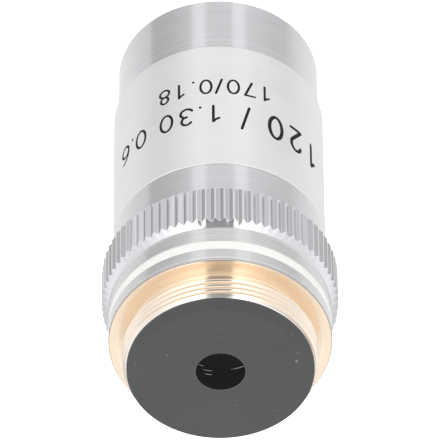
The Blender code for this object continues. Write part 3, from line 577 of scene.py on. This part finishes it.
dress(thread_mount(), "body", "thread_brass", "thread_mount")


# Rear stop disc

def rear_stop_disc():
    outline = [
        (LIGHT_HOLE_R + LIGHT_HOLE_BEVEL, DISC_TOP_Z, 0.02),
        (DISC_R, STOP_RIM_Z, 0.07),
        (DISC_R, MOUNT_TOP_Z + FACE_GAP),
        (STOP_PLUG_R, MOUNT_TOP_Z + FACE_GAP),
        (STOP_PLUG_R, DISC_BOTTOM_Z),
        (LIGHT_HOLE_R, DISC_BOTTOM_Z),
        (LIGHT_HOLE_R, DISC_TOP_Z - LIGHT_HOLE_BEVEL, 0.02),
    ]
    return lathe("rear_stop_disc_turned", outline, 0.04)


# x and z along each painted glint in the wall of the light hole
HOLE_GLINTS = (
    ((2.28, 1.95), (2.00, 1.66), (1.69, 1.41)),
    ((1.81, 2.05), (1.35, 1.80), (0.82, 1.63)),
    ((1.69, 2.57), (1.30, 2.36), (0.87, 2.22)),
    ((-2.40, 2.61), (-2.10, 2.12), (-1.73, 1.81), (-1.06, 1.53)),
)

# x, y and half width of each speck on the disc
DUST = (
    (-0.17, -5.99, 0.045), (0.15, -4.73, 0.05), (-1.18, -3.87, 0.05), (-1.18, -3.45, 0.045),
    (-4.47, -3.13, 0.05), (-7.92, -2.36, 0.06), (-8.08, -2.40, 0.06), (-7.35, -5.05, 0.07),
    (-5.70, -6.40, 0.05), (-6.45, -5.85, 0.045), (6.55, -2.70, 0.045), (6.30, 2.25, 0.05),
    (7.65, 2.38, 0.05), (-1.65, 4.20, 0.05), (-1.44, 4.91, 0.045), (-7.77, 2.28, 0.04),
    (4.10, -2.90, 0.04), (2.95, 5.20, 0.035),
)


def dust():
    """Flat five-sided specks that lie on the crown of the disc."""
    corners, lift, thickness = 5, 0.004, 0.02
    crown_r = LIGHT_HOLE_R + 0.05
    verts, faces = [], []
    for i, (x, y, half) in enumerate(DUST):
        first = len(verts)
        share = (math.hypot(x, y) - crown_r) / (DISC_R - crown_r)
        top = DISC_TOP_Z + (STOP_RIM_Z - DISC_TOP_Z) * share + lift
        for z in (top - thickness, top):
            for corner in range(corners):
                angle = TURN * corner / corners + i
                verts.append((x + half * math.cos(angle), y + half * math.sin(angle), z))
        low = [first + corner for corner in range(corners)]
        high = [corner + corners for corner in low]
        faces.append(tuple(reversed(low)))
        faces.append(tuple(high))
        for c in range(corners):
            after = (c + 1) % corners
            faces.append((low[c], low[after], high[after], high[c]))
    return solid("rear_stop_dust", verts, faces)


def hole_glints():
    """Thin bright strips in the wall of the light hole, pointed at their ends: painted glints."""
    half_width, half_point = 0.035, 0.008
    sunk_r, raised_r = LIGHT_HOLE_R + 0.01, LIGHT_HOLE_R - 0.015
    verts, faces = [], []
    for mark in HOLE_GLINTS:
        first = len(verts)
        for i, (x, z) in enumerate(mark):
            half = half_width if 0 < i < len(mark) - 1 else half_point
            for lift, radius in ((-half, sunk_r), (-half, raised_r), (half, raised_r), (half, sunk_r)):
                verts.append((x, math.sqrt(radius * radius - x * x), z + lift))
        for i in range(len(mark) - 1):
            here, there = first + 4 * i, first + 4 * i + 4
            faces += [(here + j, here + (j + 1) % 4, there + (j + 1) % 4, there + j) for j in range(4)]
        faces.append(tuple(first + j for j in range(4)))
        faces.append(tuple(len(verts) - 4 + j for j in range(4)))
    return solid("light_hole_painted_glints", verts, faces)


dress(rear_stop_disc(), "body", "black_anodised", "rear_stop_disc")
dress(hole_glints(), "body", "black_anodised", material=PAINTED_GLINT_COAT)
dress(dust(), "body", "black_anodised", material=DUST_GREY)


# Mount body

def mount_body():
    groove_r = BODY_R - 0.29
    knurl_seat_r = 10.45
    spigot_r = 10.35
    tube_bore_r = TUBE_R + 0.06
    tube_bore_top_z = BODY_BOTTOM_Z + 6.2
    spring_bore_r = 8.55
    mount_bore_r = MOUNT_SPIGOT_R + FIT_GAP
    outline = [
        (BODY_R, BODY_TOP_Z, 0.03),
        (BODY_R, RING_TOP_Z + FACE_GAP, 0.04),
        (groove_r, RING_TOP_Z + FACE_GAP),
        (groove_r, RING_BOTTOM_Z - FACE_GAP),
        (BODY_R, RING_BOTTOM_Z - FACE_GAP, 0.04),
        (BODY_R, KNURL_TOP_Z + FACE_GAP, 0.05),
        (knurl_seat_r, KNURL_TOP_Z + FACE_GAP),
        (knurl_seat_r, BAND_TOP_Z + FACE_GAP),
        (spigot_r, BAND_TOP_Z + FACE_GAP),
        (spigot_r, BODY_BOTTOM_Z, 0.1),
        (tube_bore_r, BODY_BOTTOM_Z),
        (tube_bore_r, tube_bore_top_z),
        (spring_bore_r, tube_bore_top_z),
        (spring_bore_r, MOUNT_BOTTOM_Z - FACE_GAP),
        (mount_bore_r, MOUNT_BOTTOM_Z - FACE_GAP),
        (mount_bore_r, BODY_TOP_Z),
    ]
    return lathe("mount_body_turned", outline, 0.02)


dress(mount_body(), "body", "turned_chrome", "mount_body")


# Colour ring

def colour_ring():
    inner_r = RING_R - 0.22
    outline = [
        (inner_r, RING_TOP_Z),
        (RING_R, RING_TOP_Z),
        (RING_R, RING_BOTTOM_Z),
        (inner_r, RING_BOTTOM_Z),
    ]
    return lathe("colour_ring_enamel", outline, 0.05)


dress(colour_ring(), "body", "white_enamel", "colour_ring")


# Knurled ring

def tooth_depth(angle):
    """Depth below the crest: a narrow land, straight flanks, a small round at the bottom."""
    share = (angle * KNURL_TEETH / TURN - KNURL_PHASE - KNURL_HALF_LAND) % 1.0
    from_land = min(share, 1 - share) - KNURL_HALF_LAND
    ease, bottom = KNURL_LAND_EASE, KNURL_BOTTOM_ROUND
    if from_land < -ease:
        drop = 0.0
    elif from_land < ease:
        drop = (from_land + ease) ** 2 / (4 * ease)
    else:
        drop = from_land
    left = KNURL_HALF_GROOVE - drop
    if left < bottom:
        left = (left * left + bottom * bottom) / (2 * bottom)
    return KNURL_DEPTH * (1 - left / KNURL_HALF_GROOVE)


def knurled_ring():
    bore_r = KNURL_R - 1.86
    cone_width, cone_drop = 0.75, 0.69
    cone_r = KNURL_R - cone_width
    front_r = KNURL_R - 0.4
    shares = (
        0, 0.03, 0.06, 0.09, 0.12, 0.24, 0.38, 0.44, 0.47,
        0.5, 0.53, 0.56, 0.62, 0.76, 0.88, 0.91, 0.94, 0.97,
    )
    pitch = TURN / KNURL_TEETH
    land = KNURL_PHASE + KNURL_HALF_LAND
    angles = [pitch * (tooth + land + share) for tooth in range(KNURL_TEETH) for share in shares]

    def outline(angle):
        radius = KNURL_R - tooth_depth(angle)
        return soften([
            (bore_r, KNURL_TOP_Z),
            (cone_r, KNURL_TOP_Z, 0.04),
            (radius, KNURL_TOP_Z - (radius - cone_r) * cone_drop / cone_width, 0.03),
            (radius, KNURL_BOTTOM_Z + radius - front_r, 0.03),
            (front_r, KNURL_BOTTOM_Z, 0.03),
            (bore_r, KNURL_BOTTOM_Z),
        ], 0.02)

    return skin("knurled_ring_cut", angles, outline)


dress(knurled_ring(), "body", "knurled_chrome", "knurled_ring")


# Polished band

def polished_band():
    outline = [
        (BARREL_BORE_R, BAND_TOP_Z),
        (BAND_R, BAND_TOP_Z),
        (BAND_R, BAND_BOTTOM_Z, 0.03),
        (BARREL_BORE_R, BAND_BOTTOM_Z),
    ]
    return lathe("polished_band_turned", outline, 0.02)


dress(polished_band(), "body", "polished_chrome", "polished_band")


# Figures engraved in the barrel, single strokes with round ends

def arc(centre, size, start, stop, steps=20):
    points = []
    for i in range(steps + 1):
        angle = math.radians(start + (stop - start) * i / steps)
        points.append((centre[0] + size[0] * math.cos(angle), centre[1] + size[1] * math.sin(angle)))
    return points


GLYPHS = {
    "0": [arc((0.30, 0.5), (0.30, 0.5), 0, 360, 40)],
    "1": [[(0.06, 0.78), (0.20, 0.86), (0.32, 1.0)], [(0.32, 1.0), (0.32, 0.0)]],
    "2": [arc((0.29, 0.70), (0.27, 0.30), 165, -28, 20) + [(0.02, 0.0)], [(0.02, 0.0), (0.58, 0.0)]],
    "3": [arc((0.27, 0.75), (0.24, 0.25), 150, -90, 18), arc((0.27, 0.26), (0.29, 0.26), 90, -155, 20)],
    "6": [arc((0.30, 0.31), (0.29, 0.31), 0, 360, 32), arc((0.55, 0.36), (0.54, 0.62), 178, 97, 14)],
    "7": [[(0.02, 1.0), (0.58, 1.0)], [(0.58, 1.0), (0.20, 0.0)]],
    "8": [arc((0.30, 0.76), (0.23, 0.24), 0, 360, 28), arc((0.30, 0.26), (0.29, 0.26), 0, 360, 32)],
    "/": [[(0.0, -0.02), (0.32, 1.02)]],
    ".": [[(0.08, 0.03), (0.08, 0.05)]],
}


def in_steps(points, longest=0.12):
    """Divides the line so that it can follow the barrel's curve."""
    line = [points[0]]
    for start, end in zip(points, points[1:]):
        steps = math.ceil(math.dist(start, end) / longest)
        for i in range(1, steps + 1):
            share = i / steps
            line.append((start[0] + (end[0] - start[0]) * share, start[1] + (end[1] - start[1]) * share))
    return line


def ribs(points, half_width):
    """Pairs of points across a stroke, with a round end at each side of an open one."""
    closed = math.dist(points[0], points[-1]) < 1e-6
    line = [Vector(p) for p in (points[:-1] if closed else points)]
    count = len(line)
    found = []
    for i, point in enumerate(line):
        before = line[i - 1] if closed or i else point
        after = line[(i + 1) % count] if closed or i < count - 1 else point
        found.append((point, (after - before).normalized(), half_width))
    if not closed:
        for end, sign in ((0, -1), (-1, 1)):
            point, heading, reach = found[end]
            for degrees in (30, 60, 82):
                turn = math.radians(degrees)
                rib = (point + sign * reach * math.sin(turn) * heading, heading, reach * math.cos(turn))
                found.insert(0 if end == 0 else len(found), rib)
    sides = []
    for point, heading, reach in found:
        across = Vector((-heading.y, heading.x)) * reach
        sides.append((point + across, point - across))
    return sides, closed


def stroke_solid(points, half_width, place, low_r, high_r):
    """Verts and faces of one stroke standing on the barrel from one radius to another."""
    sides, closed = ribs(points, half_width)
    verts, faces = [], []
    for left, right in sides:
        verts += [place(left, low_r), place(left, high_r), place(right, high_r), place(right, low_r)]
    count = len(sides)
    for i in range(count if closed else count - 1):
        here, there = 4 * i, (i + 1) % count * 4
        for j in range(4):
            k = (j + 1) % 4
            faces.append((here + j, here + k, there + k, there + j))
    if not closed:
        faces.append((0, 1, 2, 3))
        faces.append(tuple(4 * count - 4 + j for j in range(4)))
    return verts, faces


LINE_1_Z = -24.64
LINE_2_Z = -28.79
FIGURES_DEPTH = 0.05
FIGURES_RISE = 0.004

# Text, where each letter starts round the barrel, height, width, stroke and foot
LINES = (
    ("120", (-12.62, -9.90, -7.15), 3.29, 0.78, 0.42, LINE_1_Z),
    ("/", (-3.31,), 3.29, 0.78, 0.31, LINE_1_Z),
    ("1.30", (-0.22, 1.72, 2.77, 5.03), 2.48, 0.93, 0.30, LINE_1_Z),
    ("0.6", (8.48, 10.38, 11.28), 2.48, 0.93, 0.30, LINE_1_Z),
    ("170/0.18", (-5.70, -4.01, -2.21, -0.40, 0.70, 2.48, 3.60, 5.34), 2.09, 0.93, 0.265, LINE_2_Z),
)


def figures(name, low_r, high_r):
    verts, faces = [], []

    def write(letter, start, height, width, stroke, base_z):
        def place(point, radius):
            angle = (start + point[0]) / BARREL_R
            return radius * math.sin(angle), -radius * math.cos(angle), base_z + point[1]

        for line in GLYPHS[letter]:
            scaled = in_steps([(x * height * width, y * height) for x, y in line])
            new_verts, new_faces = stroke_solid(scaled, stroke / 2, place, low_r, high_r)
            offset = len(verts)
            verts.extend(new_verts)
            faces.extend(tuple(offset + i for i in face) for face in new_faces)

    for text, starts, *form in LINES:
        for letter, start in zip(text, starts):
            write(letter, start, *form)
    return solid(name, verts, faces)


def outer_barrel():
    outline = [
        (BARREL_BORE_R, BARREL_TOP_Z),
        (BARREL_R, BARREL_TOP_Z, 0.1),
        (BARREL_R, BARREL_BOTTOM_Z, 0.15),
        (BARREL_SKIRT_R, BARREL_BOTTOM_Z, 0.04),
        (BARREL_SKIRT_R, BODY_BOTTOM_Z - FACE_GAP),
        (BARREL_BORE_R, BODY_BOTTOM_Z - FACE_GAP),
    ]
    return lathe("outer_barrel_engraved", outline, 0.03)


dress(outer_barrel(), "body", "satin_chrome", "outer_barrel")
fill = figures("figures_fill", BARREL_R - FIGURES_DEPTH, BARREL_R + FIGURES_RISE)
fill.data.shade_flat()
dress(fill, "body", "black_anodised", material=FIGURE_PAINT)


# Nose

def nose_sleeve():
    web_top_z = NOSE_BOTTOM_Z + 7.0
    bore_r = TUBE_R + FIT_GAP
    skirt_r = NOSE_R - 0.66
    outline = [
        (bore_r, NOSE_BOTTOM_Z),
        (NOSE_R, NOSE_BOTTOM_Z, 0.4),
        (NOSE_R, NOSE_TOP_Z),
        (skirt_r, NOSE_TOP_Z),
        (skirt_r, web_top_z),
        (bore_r, web_top_z),
    ]
    return lathe("nose_sleeve_turned", outline, 0.03)


dress(nose_sleeve(), "nose", "polished_chrome", "nose_sleeve")


def front_cap():
    bore_r, tip_r, chamber_r, plug_r = 2.05, 2.6, 4.5, 5.55
    rim_z = NOSE_BOTTOM_Z - FACE_GAP
    seat_z = CAP_BOTTOM_Z + 2.3
    outline = [
        (bore_r, CAP_BOTTOM_Z, 0.05),
        (tip_r, CAP_BOTTOM_Z, 0.2),
        (CAP_R, rim_z - 0.25, 0.1),
        (CAP_R, rim_z),
        (plug_r, rim_z),
        (plug_r, CAP_TOP_Z),
        (chamber_r, CAP_TOP_Z),
        (chamber_r, seat_z),
        (bore_r, seat_z),
    ]
    return lathe("front_cap_turned", outline, 0.03)


dress(front_cap(), "nose", "polished_chrome", "front_cap")


def front_cell():
    mouth_r, pocket_r, tip_r, funnel_r = 0.83, 1.07, 2.0, 2.8
    seat_z = CELL_TOP_Z - 0.6
    outline = [
        (mouth_r, CELL_BOTTOM_Z, 0.02),
        (tip_r, CELL_BOTTOM_Z, 0.1),
        (tip_r, seat_z),
        (CELL_R, seat_z),
        (CELL_R, CELL_TOP_Z),
        (funnel_r, CELL_TOP_Z),
        (pocket_r, CELL_BOTTOM_Z + 1.66),
        (pocket_r, CELL_BOTTOM_Z + 0.5),
    ]
    return lathe("front_cell_turned", outline, 0.02)


dress(front_cell(), "nose", "steel", "front_cell")


def front_lens():
    """A ball with a flat ground on its front."""
    ball_r, steps, segments = 1.0, 32, 96
    centre_z = LENS_TOP_Z - ball_r
    lowest = math.asin((LENS_BOTTOM_Z - centre_z) / ball_r)
    outline = [(0.0, LENS_BOTTOM_Z)]
    for i in range(steps + 1):
        angle = lowest + (math.pi / 2 - lowest) * i / steps
        outline.append((ball_r * math.cos(angle), centre_z + ball_r * math.sin(angle)))
    return skin("front_lens_ball", round_angles(segments), lambda angle: outline)


dress(front_lens(), "nose", "crown_glass", "front_lens")


# Retraction spring

def retraction_spring():
    wire_r, turns, steps, sides = 0.275, 3.625, 180, 12
    low, high = SPRING_BOTTOM_Z + wire_r, SPRING_TOP_Z - wire_r
    verts, faces = [], []
    for i in range(steps + 1):
        angle = TURN * turns * i / steps
        height = low + (high - low) * i / steps
        for side in range(sides):
            around = TURN * side / sides
            radius = SPRING_R - wire_r + wire_r * math.cos(around)
            z = height + wire_r * math.sin(around)
            verts.append((radius * math.cos(angle), radius * math.sin(angle), z))
    for i in range(steps):
        for side in range(sides):
            here, there = i * sides + side, i * sides + (side + 1) % sides
            faces.append((here, there, there + sides, here + sides))
    faces.append(tuple(range(sides)))
    faces.append(tuple(steps * sides + side for side in range(sides)))
    return solid("retraction_spring_coil", verts, faces)


def press_spring():
    """Puts the spring in place, with a mesh of its own."""
    coil = dress(retraction_spring(), "body", "spring_steel", "retraction_spring")
    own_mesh(coil)


press_spring()


# CAD nodes that keep their shape

for part in frame["record"]["subparts"]:
    if part["node"] not in DRESSED:
        mesh = frame["nodes"][part["node"]].data
        mesh.materials.clear()
        mesh.materials.append(MATERIALS[part["material_slot"]])


# Studio

def floor():
    half, z = 3.0, CELL_BOTTOM_Z * MM
    verts = [(-half, -half, z), (half, -half, z), (half, half, z), (-half, half, z)]
    mesh = bpy.data.meshes.new("floor")
    mesh.from_pydata(verts, [], [(0, 1, 2, 3)])
    made = bpy.data.objects.new("floor", mesh)
    bpy.context.scene.collection.objects.link(made)
    material = shader("studio_floor", Roughness=1.0, Base_Color=(0.9, 0.9, 0.9, 1), Emission_Color=WHITE,
                      Emission_Strength=1.0)[0]
    mesh.materials.append(material)
    for ray in ("diffuse", "glossy", "transmission", "shadow"):
        setattr(made, "visible_" + ray, False)


floor()


# Brightness of the studio by direction, as (degrees from ahead of the barrel, brightness)

WORLD_STRENGTH = 1.9
LOW_STRIPS = (
    (-90, 0.93), (-75, 0.91), (-60, 0.865), (-50, 0.77), (-42.5, 0.73), (-40, 0.55), (-35, 0.54),
    (-28, 0.57), (-20, 0.66), (-15.5, 0.72), (-13.5, 0.93), (-7.8, 0.96), (-6.2, 0.77), (7.8, 0.77),
    (9.2, 0.96), (15, 0.96), (16.6, 0.78), (25, 0.73), (32, 0.68), (41, 0.66), (50, 0.795),
    (60, 0.89), (72, 0.92), (90, 0.90),
)
MIDDLE_STRIPS = (
    (-90, 0.76), (-70, 0.96), (-45, 1.20), (0, 1.35), (45, 1.22), (70, 0.98), (90, 0.78),
)
HIGH_STRIPS = (
    (-90, 0.95), (-60, 0.98), (-50, 0.88), (-40, 0.95), (-30, 1.13), (-20, 1.42), (-8.6, 1.70),
    (-7.9, 0.35), (7.9, 0.35), (8.6, 1.70), (14, 1.68), (20, 1.32), (30, 1.00), (40, 0.90),
    (50, 0.88), (60, 0.98), (90, 0.95),
)
OVERHEAD = 1.07
BACKDROP = 1.0


def grey(brightness):
    return rgba((1.0, 1.0, 1.0), brightness / WORLD_STRENGTH)


def ramp(tree, share, stops):
    """A grey ramp over the half turn of directions, from (degrees, brightness) stops."""
    made = add(tree, "ShaderNodeValToRGB", {"Fac": share})
    elements = made.color_ramp.elements
    while len(elements) > 1:
        elements.remove(elements[-1])
    for i, (degrees, brightness) in enumerate(stops):
        place = (degrees + 90) / 180
        element = elements[0] if i == 0 else elements.new(place)
        element.position = place
        element.color = grey(brightness)
    return made.outputs["Color"]


def studio_world():
    """Soft light in strips that run along the barrel: white cards with gaps, and the camera's own shade.

    The strips of the low part show in the upright walls, those of the high
    part in the cone and the brass shoulder. The part between lights the paint.
    """
    world = bpy.data.worlds.new("studio")
    bpy.context.scene.world = world
    world.use_nodes = True
    tree = world.node_tree
    direction = add(tree, "ShaderNodeTexCoord").outputs["Generated"]
    x, y, z = add(tree, "ShaderNodeSeparateXYZ", {0: direction}).outputs
    angle = calc(tree, "ARCTAN2", calc(tree, "MULTIPLY", x, -1.0), calc(tree, "SUBTRACT", 0.67, y))
    share = remap(tree, angle, -math.pi / 2, math.pi / 2)
    low, middle, high = (ramp(tree, share, stops) for stops in (LOW_STRIPS, MIDDLE_STRIPS, HIGH_STRIPS))
    behind = remap(tree, y, 0.15, 0.5, smooth=True)
    upward = remap(tree, z, 0.0, 0.4, smooth=True)
    colour = lay(
        tree, low,
        (remap(tree, z, -0.62, -0.45, smooth=True), middle),
        (remap(tree, z, 0.30, 0.45, smooth=True), high),
        (calc(tree, "MULTIPLY", behind, upward), grey(OVERHEAD)),
        (add(tree, "ShaderNodeLightPath").outputs["Is Camera Ray"], grey(BACKDROP)),
    )
    background = tree.nodes["Background"]
    tree.links.new(colour, background.inputs["Color"])
    background.inputs["Strength"].default_value = WORLD_STRENGTH


studio_world()


def camera():
    """Seen from above the thread end, nearly along the barrel, with the nose at the top of the picture."""
    tilt, roll = math.radians(42.06), math.radians(-0.51)
    distance, focal_length = 826.4, 654.5
    right = Vector((-1, 0, 0))
    up = Vector((0, -math.cos(tilt), -math.sin(tilt)))
    back = Vector((0, -math.sin(tilt), math.cos(tilt)))
    disc_centre = Vector((0, 0, 3.90))
    aim = disc_centre + 0.08 * right + 15.39 * up
    turn = Matrix((right, up, back)).transposed() @ Matrix.Rotation(roll, 3, "Z")
    lens = bpy.data.cameras.new("camera")
    lens.sensor_width = 36.0
    lens.lens = focal_length
    lens.clip_start = 0.01
    lens.clip_end = 20.0
    made = bpy.data.objects.new("camera", lens)
    made.matrix_world = Matrix.Translation((aim + distance * back) * MM) @ turn.to_4x4()
    bpy.context.scene.collection.objects.link(made)
    bpy.context.scene.camera = made


camera()
bpy.context.scene.view_settings.view_transform = "Standard"
